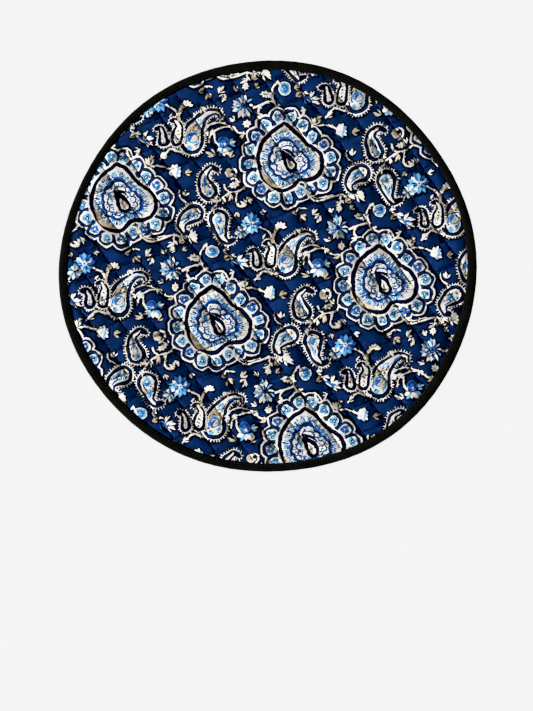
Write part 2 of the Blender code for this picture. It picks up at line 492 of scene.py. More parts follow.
def petal_ring():
    """The heart's dark and pale rims, and a petal with an eye on each step round it."""
    petals = list(zip(*spaced(grown(heart(), RING_REACH), PETAL_SPACING, closed=True)))
    for dye, petal_reach, heart_reach in RING_LAYERS:
        paint(dye, grown(heart(), heart_reach))
        for place, (centre, _) in enumerate(petals):
            reach = petal_reach * (1 + 0.06 * np.sin(1.7 * place))
            dot(dye, centre, reach, 16, 5, 0.055, 2.4 * place + 0.05 * petal_reach)
    for place, (centre, inward) in enumerate(petals):
        outward = np.degrees(np.arctan2(-inward[1], -inward[0]))
        blade("cream", centre + 9.0 * inward, centre - 3.6 * inward, 8.2, 0.5, steps=6)
        dot("cream", centre, 5.0 + 0.5 * np.sin(2.9 * place), 16, 4, 0.09, 1.9 * place)
        eye = centre + toward(140 * place, 0.5)
        dot(("teal", "sky", "blue", "sky")[place % 4], eye, 4.0, 13, 3, 0.13, 2.3 * place)
        for step in (-150, -85, -30, 25, 80):
            mark = eye + toward(outward + step, 1.9)
            dye = ("sky", "ground", "cream", "ink")[(place + step // 5) % 4]
            blade(dye, mark, mark + toward(outward + step + 25, 2.6), 1.1, steps=4)
        dot(("blue", "ground")[place % 2], eye, 1.9, 9, 3, 0.2, place + 0.6)
        dot("cream", eye, 0.8, 6)


petal_ring()
heart_filling()
print(f"heart-shaped paisley and its ring: {len(over)} shapes")

# %% Paisleys with a curled tip
CUT_EDGE = (
    # dye, reach beyond the paisley itself
    ("cream", 4.1),
    ("ink", 3.35),
    ("ground", 2.2),
    ("ink", 1.5),
    ("cream", -0.4),
)


def curled(spine, radii, layers=CUT_EDGE, cut=1.7):
    """A paisley in rings, the outer one cut into fine teeth. Its filling stops short of the curl."""
    paint("ink", comma(np.asarray(spine) + SLIP, radii, layers[0][1] + HALO), under)
    teeth(comma(spine, radii, layers[0][1]), cut)
    for dye, reach in layers[:-1]:
        paint(dye, comma(spine, radii, reach))
    paint(layers[-1][0], comma(spine[:-1], radii[:-1], layers[-1][1]))


def veined(spine, radii, dyes=("ink", "sky", "blue", "ink", "tan"), spacing=1.9):
    """Short strokes on both sides of a paisley's spine, like the veins of a leaf."""
    points, left = spaced(smooth(spine, SPINE_STEPS), spacing)
    radius = spread(radii, len(points))
    for place in range(len(points) * 2 // 3):
        ahead = np.array([left[place][1], -left[place][0]])
        for side in (-1, 1):
            reach = radius[place] * (0.78 + 0.12 * np.sin(3.3 * place + side))
            root = points[place] + 0.16 * side * left[place] * reach
            tip = points[place] + reach * (0.9 * side * left[place] + 0.35 * ahead)
            blade(dyes[(place + (side > 0) * 2) % len(dyes)], root, tip, 0.95, 0.6, 0.1, 4)


def eyes(dye, radius, *centres):
    for centre in centres:
        dot(dye, centre, radius, 9, 3, 0.08)


def inked(width, *strokes):
    """Short dark strokes: x and y where each starts, then x and y where it ends."""
    for stroke in strokes:
        blade("ink", stroke[:2], stroke[2:], width, 0.5, 0.12, 4)


def cluster():
    """Three paisleys that lean together on one foot."""
    tall = ((-5, -96.5), (-4, -88.5), (-0.5, -80), (5.5, -73),
            (13, -68.2), (19.5, -69.2), (20.8, -73.5))
    tall_edge = (("cream", 4.4), ("ink", 3.6), ("ground", 2.3), ("ink", 1.6), ("cream", -0.4))
    curled(tall, (7.6, 7.0, 4.8, 2.6, 1.3, 0.9, 0.5), tall_edge)
    vine(tall[3:], 1.2, 1.0)
    veined(tall[:5], (7.0, 6.4, 4.4, 2.2))
    blade("tan", (-10.5, -97), (1.5, -78.5), 5.0, 0.5, 0.12)
    dot("sky", (-4.6, -91.5), 5.2, 16, 7, 0.04)
    dot("blue", (-4.6, -91.7), 4.3, 14)
    dot("cream", (-4.3, -92.0), 3.5, 14)
    blade("blue", (-7, -95.5), (-2.6, -89), 2.8, bend=0.2)
    blade("tan", (-5.4, -95.5), (-1.8, -90), 2.0)
    dot("sky", (-7.4, -101.2), 2.4, 10, 5, 0.15)
    blade("sky", (-1.8, -80.5), (4.5, -73.5), 3.8, 0.5)
    blade("cream", (-0.6, -79), (3.0, -75.4), 1.2, 0.5)
    eyes("ink", 0.75, (-9.6, -97), (-10.0, -94.2), (-1.5, -100.6),
         (-3.0, -83), (0.6, -84), (-6.2, -86))
    blade("sky", (-2.2, -101.2), (1.4, -94.0), 2.6)
    blade("blue", (-11.0, -98.5), (-9.6, -89.5), 1.5)
    blade("blue", (6.0, -75.0), (15.5, -69.6), 1.6, 0.5, 0.1)
    blade("tan", (-0.5, -93), (1.8, -83), 2.4, 0.5, -0.1)
    inked(1.1, (-10.5, -91, -7.5, -84.5), (0.8, -95, 2.0, -89.0), (-6.5, -84.5, -2.0, -86.5),
          (-9.8, -100.5, -6.5, -98.6), (-3.6, -99, -0.4, -97.4), (1.4, -82, 5.0, -77),
          (-3.2, -81.5, 1.5, -79.5), (4.0, -79, 8.0, -72.8), (-11.8, -95.5, -11.0, -89.5))
    middle = ((-19.3, -94), (-18.2, -87), (-17.2, -81), (-20.5, -76.2), (-24.5, -76.8))
    middle_edge = (("cream", 3.6), ("ink", 2.8), ("cream", -0.3))
    curled(middle, (3.3, 2.9, 1.7, 0.8, 0.4), middle_edge, 1.2)
    veined(middle[:3], (2.8, 2.4, 1.2), ("ink", "tan", "blue"), 1.5)
    eyes("ink", 0.85, (-18.6, -88.5), (-19, -92), (-19.6, -95.3), (-18.0, -85))
    small = ((-31, -95), (-31.6, -89), (-33.6, -83.2), (-38.5, -83.8))
    small_edge = (("cream", 4.4), ("ground", 3.5), ("ink", 2.8), ("cream", 0.0))
    curled(small, (1.9, 1.3, 0.7, 0.4), small_edge, 1.2)
    eyes("ink", 0.6, (-31.2, -95.6), (-31.3, -92.6))
    vine(((-12, -104.8), (-18, -103.8), (-24.6, -101.8), (-29, -105.5), (-34, -111)), 1.9, 1.5)
    vine(((-17, -77), (-16, -70), (-15.2, -65.5), (-11.4, -62)), 2.1, 3.0, "tan")
    vine(((-17.6, -72), (-19.5, -66.5), (-25.5, -63.5)), 1.9, 1.4)
    for direction in (150, 115, 80, 45, 10):
        sprig((-9.5, -62.6), toward(direction, 5.6) + (-9.5, -62.6), 2.6, fullest=0.6)
    sprig((-25.5, -63.5), (-30, -60.5), 1.6)
    sprig((-26.5, -73), (-23, -69), 1.8)


# %% Small paisleys with a cut edge
def small_paisleys():
    left = ((-75.8, -29.3), (-79.0, -21), (-78.8, -13), (-73.1, -7.6), (-66.5, -10))
    curled(left, (5.6, 4.2, 1.6, 0.7, 0.4))
    veined(left[:3], (5.4, 4.0, 1.4))
    blade("tan", (-80, -27), (-71.4, -32.5), 4.6, 0.5, -0.1)
    dot("sky", (-74.4, -30.4), 2.5, 12, 4, 0.12)
    eyes("ink", 1.0, (-73.9, -31), (-78.6, -30.2))
    blade("blue", (-78.5, -27.5), (-79.0, -14), 2.2)
    blade("teal", (-76.5, -25.5), (-78.0, -17), 1.4)
    inked(1.1, (-80.5, -26, -79.6, -20.5), (-73.0, -27, -76.2, -21.5), (-78.2, -33, -74.6, -34))
    right = ((64.5, -12), (58, -15.5), (53.2, -21.5), (54.8, -28.2), (61.5, -30.4))
    curled(right, (5.8, 4.8, 2.6, 1.2, 0.5))
    veined(right[:4], (5.6, 4.6, 2.4, 1.0))
    blade("sky", (69, -14.5), (55, -14.0), 4.0, 0.5, -0.1)
    blade("blue", (63, -16), (53.6, -22.5), 1.8, 0.5, -0.1)
    blade("teal", (62, -8.0), (54.5, -18), 2.4, 0.5, 0.12)
    dot("tan", (66, -10), 2.6, 10, 5, 0.1)
    inked(1.1, (61, -12, 57.4, -16.5), (64, -17.5, 58, -20.5), (67.6, -13, 64.6, -16.6))
    eyes("ink", 0.9, (66, -10), (59, -16.5), (66.5, -14.6))
    low = ((-66, -55.2), (-65, -62.5), (-63, -70.5), (-58.8, -75.4), (-52.2, -73.6))
    curled(low, (6.4, 4.6, 1.9, 0.9, 0.5))
    veined(low[:3], (6.0, 4.4, 1.7))
    dot("sky", (-66.4, -54.8), 3.5, 12, 4, 0.12)
    dot("blue", (-65.6, -56), 2.2, 10, 4, 0.15)
    dot("cream", (-66.4, -54.6), 1.0, 8)
    blade("sky", (-66.5, -60), (-63.4, -70.5), 3.0)
    blade("blue", (-63.6, -60.5), (-62.8, -69), 1.3)
    blade("tan", (-70.2, -57.5), (-67, -65), 1.8)
    inked(1.1, (-70.8, -55, -68.4, -61), (-62.0, -58, -62.2, -64.5), (-68.6, -50.4, -64.4, -50.6),
          (-69.2, -58.4, -66.0, -66.0))


cluster()
small_paisleys()
print(f"with the curled paisleys: {len(over)} shapes")

# %% Flowers
def fan(centre, first, last, count, start, length, width, dyes, bend=0.0):
    """Petals spread round a centre between two directions in degrees."""
    for place, direction in enumerate(np.linspace(first, last, count)):
        reach = length * (1 + 0.12 * np.sin(2.2 * place))
        root, tip = centre + toward(direction, start), centre + toward(direction, start + reach)
        sprig(root, tip, width, dyes[place % len(dyes)], fullest=0.62, bend=bend, steps=5)


def half_sun(centre):
    """A flower with broad pale petals on its left and thin curved ones on its right."""
    fan(centre, -70, 75, 5, 2.6, 6.8, 1.8, ("cream", "sky"), 0.12)
    fan(centre, 80, 300, 13, 1.0, 9.8, 3.3, ("cream", "sky", "cream", "blue", "cream"))
    fan(centre, 95, 290, 12, 2.0, 5.4, 1.3, ("blue", "cream", "ground", "sky"))
    for dye, radius in (("ink", 2.9), ("blue", 2.3), ("ink", 1.2)):
        dot(dye, centre, radius, 12, 5, 0.14)


def jagged_flower(centre):
    """A thistle of blue points over a leafy foot, with broad pale petals on its left."""
    fan(centre, -80, 80, 8, 1.0, 8.4, 3.4, ("blue", "sky", "blue", "ground"))
    fan(centre, 92, 268, 8, 1.0, 9.0, 3.8, ("sky", "blue", "cream", "sky"))
    fan(centre, -60, 260, 13, 1.5, 5.0, 1.3, ("ground", "sky", "blue", "cream", "ink"))
    foot = np.array(centre) + (-9.0, -7.5)
    fan(foot, 60, 360, 10, 0.6, 6.0, 3.0, ("cream", "sky", "cream", "teal"))
    fan(foot, 100, 330, 5, 0.4, 3.4, 1.1, ("blue", "ink"))
    dot("cream", centre, 2.0, 10, 5, 0.15)
    dot("blue", centre, 1.1, 8)


def ball_flower(centre):
    """A round blue bud under a bent stalk, with a skirt of pale petals."""
    centre = np.array(centre)
    fan(centre + (0.8, -4.5), 205, 335, 5, 1.0, 7.6, 3.4, ("cream", "sky", "cream"))
    fan(centre + (4.5, -1.0), -20, 45, 3, 0.6, 6.4, 2.4, ("sky", "cream"))
    for dye, radius in (("ink", 5.9), ("blue", 5.1), ("ground", 3.7), ("blue", 2.6)):
        dot(dye, centre, radius, 16)
    dot("cream", centre + (1.0, -2.2), 1.3, 8)
    blade("sky", centre + (-4.2, -1.0), centre + (-0.6, -4.4), 1.3, bend=0.2)


def round_bud(centre):
    for dye, radius in (("ink", 7.4), ("cream", 6.0), ("sky", 5.0), ("blue", 3.5), ("sky", 1.7)):
        dot(dye, centre, radius, 18, 7, 0.03, radius)
    for direction in range(0, 360, 40):
        mark = centre + toward(direction, 4.3)
        blade("blue", mark, mark + toward(direction + 30, 1.6), 0.7, steps=3)
    blade("ink", centre + toward(60, 2.6), centre + toward(200, 1.2), 0.9, bend=0.3)


def shell_bud(centre):
    fan(centre, -70, 100, 6, 0.6, 6.2, 3.2, ("sky", "cream", "cream"))
    dot("cream", centre, 4.3, 14, 5, 0.14)
    blade("sky", centre + toward(-80, 4), centre + toward(50, 4.2), 2.4, bend=-0.25)
    blade("tan", centre + toward(200, 2.5), centre + toward(10, 2), 0.9)


half_sun(np.array([-43.4, 49.0]))
jagged_flower(np.array([-36.0, -58.5]))
ball_flower((-62.0, 16.0))
round_bud(np.array([-6.0, 64.8]))
shell_bud(np.array([45.2, 26.4]))
print(f"with the flowers: {len(over)} shapes")

# %% Vines between them
VINES = (
    # width at the start and at the end in millimetres, then points along it
    (1.8, 1.4, ((-11.5, 72), (-17.0, 65), (-16.5, 55.5), (-13.5, 48.5), (-9.0, 50.5))),
    (1.5, 2.3, ((-15.5, 53), (-20, 52.5), (-27, 50), (-34.5, 47.8))),
    (1.3, 2.1, ((-24.5, 51), (-29, 47.5), (-29, 42.5), (-26.5, 40.8))),
    (1.3, 1.3, ((-12.0, 72), (-10.2, 66.8), (-7.6, 63.2))),
    (1.5, 1.3, ((-75, 15), (-73.5, 23.2), (-66.5, 28.2), (-57, 29.6), (-48.5, 24.5), (-41, 23.6))),
    (1.3, 1.8, ((-69.8, 25), (-69.6, 17.5), (-66.0, 11.6))),
    (1.3, 2.3, ((2.6, 45.4), (5.6, 37.6), (10.6, 40.4), (13.2, 46.5))),
    (1.3, 1.8, ((24, 31), (31, 31.6), (38, 29.6), (43, 27.4))),
    (1.5, 1.8, ((11, -24.5), (16.5, -33.8), (24, -38.4), (33.5, -36.0), (44.8, -32.2), (51, -33.6))),
    (0.8, 0.8, ((14, -27.5), (20, -34.2), (27, -35.4), (38, -32.6))),
    (1.5, 1.2, ((-40.5, -22.4), (-47, -28.2), (-55.5, -30.4), (-64.5, -36), (-70, -43.5))),
    (1.3, 2.1, ((-48.5, -29.5), (-50.4, -37), (-48.5, -42.0), (-43.0, -42.6), (-40.8, -40.4))),
    (1.3, 1.7, ((-56, -30.6), (-60, -27), (-61.5, -22.5))),
    (1.2, 2.3, ((-55, -18.5), (-50.4, -14.8), (-50.8, -9.6), (-54.6, -8.0))),
    (1.6, 1.0, ((6.2, -86), (8.4, -82.4), (13.2, -79.6), (21, -78.4), (30.4, -81.8))),
    (1.3, 1.0, ((45.8, -33), (45.6, -38), (44.6, -43))),
    (1.2, 0.9, ((-72, -44), (-70.4, -49.8))),
    (1.2, 0.9, ((14.4, -45.2), (7.5, -44.6), (3.5, -48.5))),
    (1.3, 0.9, ((57, -2), (51, 2.4), (50.6, 8.6))),
)
for start_width, end_width, stops in VINES:
    vine(stops, start_width, end_width)

# %% Leaves and specks
LEAVES = (
    # root x and y, tip x and y, width, dye unless it is cream, dye of the vein if it has one
    (-18, 60, -29, 59.4, 6.2, "cream", "ink"),
    (-20, 75, -26, 84, 5.8),
    (-26.5, 40.8, -31.5, 38.5, 4.2),
    (13.2, 46.5, 8.8, 44.5, 3.4),
    (10.5, 57.5, 20.5, 50.5, 4.5, "blue", "cream"),
    (9.5, 60.5, 16, 60.5, 3.5),
    (18.5, 52.5, 26.5, 50.5, 3.6),
    (18, 54, 27, 56.5, 4.1),
    (17.5, 55.5, 21.5, 63, 3.6),
    (17, 54, 24, 53.6, 2.8, "blue"),
    (23.4, 31.5, 21.8, 39, 4.5, "cream", "tan"),
    (23.2, 36.4, 27.6, 40.0, 3.0, "tan"),
    (22.6, 35.4, 18.6, 38.4, 2.8),
    (-40.5, 28.5, -40.5, 36.5, 6.5, "cream", "tan"),
    (-42, 24, -48.0, 20.5, 3.0, "tan"),
    (-76.5, 26, -80.5, 22, 3.6),
    (-69, 5.0, -78, 7.0, 4.4),
    (-47.5, -22.0, -57.5, -24.8, 5.2, "cream", "tan"),
    (-46, -21, -51.5, -17, 3.5),
    (-40.8, -40.4, -46.5, -38.2, 3.8),
    (-55.5, -31, -57.5, -38.5, 4.0, "tan", "cream"),
    (-66, -37, -73.5, -36, 3.2),
    (-62.5, -34.5, -62.4, -41, 3.0),
    (44.6, -42, 43.9, -48.5, 5.5, "cream", "tan"),
    (45.4, -38, 39.4, -42.6, 2.5),
    (45.4, -37, 48.6, -40.4, 2.5),
    (50.5, -39.6, 55.4, -33.0, 4.4, "tan", "cream"),
    (59.4, -33.0, 67.5, -39.0, 4.8),
    (62.5, -53, 70.5, -53.4, 5.5, "cream", "ink"),
    (10.5, -87.6, 17.6, -84.4, 3.2),
    (12.5, -85.5, 16.4, -89.6, 2.5),
    (30.4, -81.8, 35.4, -85.6, 3.2),
    (52.0, -33.4, 58.5, -36.8, 3.2),
    (56.5, 3.5, 56.0, 9.5, 4.2),
    (55.5, 24, 62.5, 26.5, 4.2, "tan"),
    (4.5, 56.5, 10.5, 62.5, 3.2, "tan"),
    (-61, 60.5, -63.6, 52.5, 4.2, "cream", "ground"),
    (-78.5, 60, -73, 55.5, 4.8, "tan", "cream"),
    (-62.5, -84, -57, -82, 3.8),
    (20.2, -51.5, 24.5, -44.6, 4.2, "cream", "tan"),
    (1.5, -50.5, 6, -47.0, 2.8, "tan"),
    (-55.5, 1.5, -52.5, 8.0, 3.8, "tan"),
    (-50.5, 36.5, -56.5, 38.5, 3.2),
    (-32.5, 65.5, -29.5, 70.5, 3.2, "tan"),
    (-49, 62.5, -52.5, 67.5, 3.0),
    (-28, -49.5, -22.5, -47.5, 3.0),
    (-50.5, -48.0, -47.5, -52.6, 3.0, "tan"),
    (70.5, -0.5, 76.5, 3.5, 3.2),
    (33.5, 38.5, 38.5, 44.0, 3.4),
    (3.0, -64.0, 8.5, -69.5, 3.8),
    (-41, -34.5, -36.5, -40.5, 3.4),
)
for row in LEAVES:
    ragged(row[:2], row[2:4], *row[4:])

# The berry on its hook, between the ring and the left paisley.
dot("ink", (-56.4, -12.6), 5.0, 16)
dot("cream", (-56.4, -12.6), 4.3, 14, 6, 0.05)
dot("tan", (-57.2, -12.0), 2.6, 10)
dot("ink", (-53.4, -11.4), 2.0, 10)

block = under + over
print(f"the block has {len(block)} shapes and {sum(len(outline) for _, outline in block)} corners")

# %% [markdown]
# ## Stamping the block
#
# The printer sets the block down in slanting rows, each heart a fixed step from the next. By hand
# no two stamps lie quite alike, and the cloth drinks the dye unevenly, so each stamp is shifted
# and turned a little and every line wanders by a fraction of a millimetre.

# %% The print over the whole cloth, in millimetres
FIRST_HEART = np.array([20.8, 98.8])
STEP_ACROSS = np.array([152.4, 36.7])
STEP_DOWN = np.array([86.3, -112.0])
STAMP_SHIFT = 0.4
STAMP_TURN = np.radians(0.5)
STAMP_MARGIN = 3
SLOW_WANDER, FINE_WANDER = 0.40, 0.30
UNDER_THE_TAPE = 2.8 * MM


def hand_print(points):
    """Lets the lines wander a little, slowly and finely."""
    x, y = points.T
    slow = (np.sin(x / 3.7 + 1.9 * np.sin(y / 5.3)), np.sin(y / 3.3 + 1.7 * np.sin(x / 6.1)))
    fine = (np.sin(2.3 * x + 1.7 * y), np.sin(2.9 * y - 1.3 * x))
    return points + SLOW_WANDER * np.stack(slow, axis=1) + FINE_WANDER * np.stack(fine, axis=1)


def cloth_inset(angle):
    return binding_width(angle) - UNDER_THE_TAPE


def stamped():
    """The outlines of every stamp that reaches the cloth, darkest edges first."""
    reach = (MEAN_RADIUS - BINDING_WIDTH + UNDER_THE_TAPE) / MM + STAMP_MARGIN
    found = []
    for layer, row, column in product((under, over), range(-3, 5), range(-3, 4)):
        place = FIRST_HEART + column * STEP_ACROSS + row * STEP_DOWN
        turn = STAMP_TURN * np.sin(5.1 * row + 2.3 * column)
        shift = STAMP_SHIFT * np.array([np.sin(2.9 * row + column), np.sin(row - 4.1 * column)])
        rotate = np.array([[np.cos(turn), np.sin(turn)], [-np.sin(turn), np.cos(turn)]])
        for dye, outline in layer:
            moved = place + shift + outline @ rotate
            if np.hypot(*moved.T).min() < reach:
                found.append((dye, hand_print(moved) + HUB / MM))
    return found


edge_loop = around(cloth_inset, 540) / MM
stamps = stamped()
print(f"{len(stamps)} printed shapes on the cloth")

# %% [markdown]
# ## Cutting the cloth along the print
#
# The print becomes the cloth's own faces. A constrained triangulation lays triangles along every
# printed edge, and each triangle takes the dye of the last shape painted over it. That keeps the
# edges crisp from any distance, where an image would blur. The seams are cut in as well, with
# points over the puffs between them, so that the same triangles carry the quilting.

# %% Points that follow the quilting
PUFF_SHARES = (0.03, 0.09, 0.22, 0.4, 0.6, 0.78, 0.91, 0.97)
SEAM_STEP = 0.2
EDGE_REACH = 0.5


def place_of(first, second):
    """The point where two seam counts meet, found by correcting a straight guess a few times."""
    wanted = np.stack([np.ravel(first), np.ravel(second)], axis=1)
    starts = np.array([start for _, _, start in QUILT_SEAMS])
    # A dot product with each of these rows counts the spacings across one set of seams.
    counting = np.array([rays(np.radians(direction)) / spacing
                         for direction, spacing, _ in QUILT_SEAMS])
    back = np.linalg.inv(counting)
    points = HUB + (wanted + starts) @ back.T
    for _ in range(6):
        counted = np.stack([seam_count(points, 0), seam_count(points, 1)], axis=1)
        points = points + (wanted - counted) @ back.T
    return points


SEAMS_OUT = int(np.ceil(MEAN_RADIUS / QUILT_SEAMS[0][1])) + 2


def between_seams(shares):
    """Points at those shares of a spacing in every rhombus of the quilting."""
    counts = (np.arange(-SEAMS_OUT, SEAMS_OUT)[:, None] + np.array(shares)).ravel()
    return place_of(*np.meshgrid(counts, counts, indexing="ij"))


def on_the_cloth(points):
    """Those of the points, in millimetres, that the round cloth has room for."""
    return points[np.hypot(*(points - HUB / MM).T) < (MEAN_RADIUS - BINDING_WIDTH) / MM + EDGE_REACH]


puff_points = on_the_cloth(between_seams(PUFF_SHARES) / MM)
print(f"{len(puff_points)} points follow the quilting")


def seam_lines():
    """Points along every seam in millimetres, and the edges that join them."""
    along = np.arange(-SEAMS_OUT, SEAMS_OUT, SEAM_STEP) + SEAM_STEP / 2
    points, edges = [], []
    for seam in range(-SEAMS_OUT, SEAMS_OUT + 1):
        for pair in ((np.full_like(along, seam), along), (along, np.full_like(along, seam))):
            line = on_the_cloth(place_of(*pair) / MM)
            start = sum(map(len, points))
            edges += [(start + step, start + step + 1) for step in range(len(line) - 1)]
            points.append(line)
    return np.concatenate(points), edges


seam_points, seam_edges = seam_lines()
print(f"{len(seam_points)} points lie on the seams themselves")


# %% Triangles along every printed edge
def covers(outline, points):
    """Which points an outline winds round, one True or False for each."""
    x, y = points.T
    winding = np.zeros(len(points), int)
    for (ax, ay), (bx, by) in zip(outline, np.roll(outline, -1, axis=0)):
        left = (bx - ax) * (y - ay) > (x - ax) * (by - ay)
        winding += ((ay <= y) & (y < by) & left).astype(int) - ((by <= y) & (y < ay) & ~left)
    return winding != 0


def triangulate(points, edges, outer):
    """Triangles over the points that keep to the edges, of those inside the first `outer` points."""
    found = delaunay_2d_cdt([Vector(point) for point in points], edges, [list(range(outer))], 0, 0.02)
    corners, faces, owners = found[0], np.array(found[2]), found[5]
    inside = np.array([len(owner) > 0 for owner in owners])
    return np.array([corner[:] for corner in corners]), faces[inside]


def dye_faces(shapes, corners, faces):
    """The dye of each face: that of the last shape over its middle."""
    middles = corners[faces].mean(axis=1)
    order = np.argsort(middles[:, 0])
    sorted_x = middles[order, 0]
    dyes = np.full(len(faces), DYES.index("ground"))
    for dye, outline in shapes:
        first, last = np.searchsorted(sorted_x, (outline[:, 0].min(), outline[:, 0].max()))
        near = order[first:last]
        y = middles[near, 1]
        near = near[(y > outline[:, 1].min()) & (y < outline[:, 1].max())]
        dyes[near[covers(outline, middles[near])]] = dye
    return dyes


def loop_edges(start, count):
    """The edges that close a loop of corners numbered from a start."""
    return [(start + step, start + (step + 1) % count) for step in range(count)]


points, edges = [edge_loop], loop_edges(0, len(edge_loop))
total = len(edge_loop)
for _, outline in stamps:
    points.append(outline)
    edges += loop_edges(total, len(outline))
    total += len(outline)
corners, faces = triangulate(np.concatenate(points), edges, len(edge_loop))
dyes = dye_faces(stamps, corners, faces)
print(f"the print alone cuts the cloth into {len(faces)} faces")


# %% Edges that a later shape covered are left out, and the quilting's points come in
PRINT_CELL = 2.5


def sides_of(faces):
    """The two corners of each side of the triangles: all first sides, then all second and third."""
    return np.concatenate([faces[:, [0, 1]], faces[:, [1, 2]], faces[:, [2, 0]]])


def borders(faces, dyes):
    """The edges where the dye changes."""
    ends = np.sort(sides_of(faces), axis=1)
    dye = np.tile(dyes, 3)
    order = np.lexsort((ends[:, 1], ends[:, 0]))
    ends, dye = ends[order], dye[order]
    paired = (ends[1:] == ends[:-1]).all(axis=1)
    return ends[1:][paired & (dye[1:] != dye[:-1])]


used, kept = np.unique(borders(faces, dyes), return_inverse=True)
taken = {tuple(cell) for cell in np.floor(corners[used] / PRINT_CELL).astype(int)}
free = [tuple(cell) not in taken for cell in np.floor(puff_points / PRINT_CELL).astype(int)]
kept = [tuple(map(int, pair)) for pair in kept.reshape(-1, 2) + len(edge_loop)]
before = len(edge_loop) + len(used)
kept += [(first + before, second + before) for first, second in seam_edges]
points = np.concatenate([edge_loop, corners[used], seam_points, puff_points[np.array(free)]])
corners, faces = triangulate(points, loop_edges(0, len(edge_loop)) + kept, len(edge_loop))
dyes = dye_faces(stamps, corners, faces)
print(f"with the quilting: {len(faces)} faces, {len(corners)} corners")

# %% [markdown]
# ## The printed top as a piece of cloth
#
# The flat triangles now get the quilting's height. Beside each seam the stitches gather the cloth
# into small puckers, which are too fine for the solid and are added here. A lower face and a
# narrow wall close the cloth and its wadding, all hidden between the tape and the backing.

# %% Height of the cloth with its puckers
PINCH_DEPTH = 1.0 * MM
PINCH_WIDTH = 0.58 * MM
PUCKER_HEIGHT = 0.22 * MM
PUCKER_LENGTH = 5.2 * MM
PUCKER_REACH = 4.5 * MM
PUCKER_DRIFT = 1.8
DRIFT_LENGTH = 11 * MM
TUCK_DEPTH = 0.45 * MM
TUCK_REACH = 1.2 * MM


def gathers(points, family):
    """Small waves beside one set of seams, and the depth of the crease under its stitches."""
    x, y = points.T
    turn = np.radians(QUILT_SEAMS[family][0])
    seam, off = off_seam(points, family)
    along = y * np.cos(turn) - x * np.sin(turn)
    drift = 2.4 * seam + PUCKER_DRIFT * np.sin(along / DRIFT_LENGTH)
    wave = np.sin(TURN * along / PUCKER_LENGTH + drift)
    puckers = PUCKER_HEIGHT * wave * np.sin(np.clip(off / PUCKER_REACH, 0, 1) * np.pi) ** 2
    return puckers, PINCH_DEPTH * np.exp(-((off / PINCH_WIDTH) ** 2))


def cloth_height(points):
    """The printed cloth over the table, drawn down a little where the tape grips it."""
    angle, radius = polar(points)
    under_tape = radius - (tape_lip(angle) - FIT_GAP)
    tuck = TUCK_DEPTH * np.clip(under_tape / TUCK_REACH, 0, 1)
    puckers, creases = zip(gathers(points, 0), gathers(points, 1))
    gathered = sum(puckers) - np.maximum(*creases)
    return top_height(points) + gathered * (under_tape < 0) - tuck


# %% Making a closed mesh object
def new_piece(name, points, faces, materials, material_index=None):
    """A mesh object with smooth faces."""
    mesh = bpy.data.meshes.new(name)
    mesh.from_pydata([tuple(point) for point in points], [], [tuple(map(int, face)) for face in faces])
    for material in materials:
        mesh.materials.append(material)
    if material_index is not None:
        mesh.polygons.foreach_set("material_index", np.asarray(material_index, np.int32))
    mesh.polygons.foreach_set("use_smooth", np.ones(len(mesh.polygons), bool))
    mesh.update()
    piece = bpy.data.objects.new(name, mesh)
    bpy.context.scene.collection.objects.link(piece)
    return piece


def rim_of(faces):
    """The corners round the outside of a sheet of anticlockwise faces, in order."""
    known = {(int(a), int(b)) for a, b in sides_of(faces)}
    after = {a: b for a, b in known if (b, a) not in known}
    loop = [min(after)]
    for _ in range(len(after) - 1):
        loop.append(after[loop[-1]])
    assert after[loop[-1]] == loop[0], "the sheet's rim isn't one loop"
    return loop


# %% Finishes of the cloth, one for each dye
DYE_COLOURS = {
    # sRGB of the cloth under even light, and the share of each speck that is bare thread
    "ground": ((13, 40, 84), 0.012),
    "ink": ((8, 12, 33), 0.002),
    "cream": ((243, 237, 225), 0.0),
    "tan": ((203, 184, 154), 0.05),
    "sky": ((104, 168, 216), 0.10),
    "blue": ((42, 96, 166), 0.06),
    "teal": ((74, 128, 164), 0.06),
}


def linear(*colour):
    """An sRGB colour from 0 to 255 as the linear values that a shader takes."""
    share = np.array(colour) / 255
    return (*np.where(share <= 0.04045, share / 12.92, ((share + 0.055) / 1.055) ** 2.4), 1.0)


def new_group(name, inputs, outputs):
    """An empty shader node group: inputs are (name, kind, value) and outputs are (name, kind)."""
    group = bpy.data.node_groups.new(name, "ShaderNodeTree")
    for label, kind, value in inputs:
        socket = group.interface.new_socket(label, in_out="INPUT", socket_type="NodeSocket" + kind)
        socket.default_value = value
    for label, kind in outputs:
        group.interface.new_socket(label, in_out="OUTPUT", socket_type="NodeSocket" + kind)
    return group, group.nodes.new("NodeGroupInput"), group.nodes.new("NodeGroupOutput")


def wire(tree, source, target):
    tree.links.new(source, target)


def set_inputs(tree, node, values):
    """Gives a node's sockets plain values, or links them to other nodes' outputs."""
    for label, value in values.items():
        if isinstance(value, bpy.types.NodeSocket):
            wire(tree, value, node.inputs[label])
        else:
            node.inputs[label].default_value = value


def add_node(tree, kind, values, **settings):
    """A new node with its settings and the values or links of its sockets."""
    node = tree.nodes.new("ShaderNode" + kind)
    for setting, value in settings.items():
        setattr(node, setting, value)
    set_inputs(tree, node, values)
    return node


def math(tree, operation, *values):
    return add_node(tree, "Math", dict(enumerate(values)), operation=operation).outputs[0]


def noise(tree, place, size, detail=2.0, roughness=0.5):
    """Noise whose features are about that many metres across."""
    values = {"Vector": place, "Scale": 1 / size, "Detail": detail, "Roughness": roughness}
    return add_node(tree, "TexNoise", values).outputs["Fac"]


def mix_colour(tree, share, first, second):
    values = {"Factor": share, "A": first, "B": second}
    return add_node(tree, "Mix", values, data_type="RGBA").outputs["Result"]


def own_place(tree):
    """Each point's place on the piece itself, in metres."""
    return add_node(tree, "TexCoord", {}).outputs["Object"]


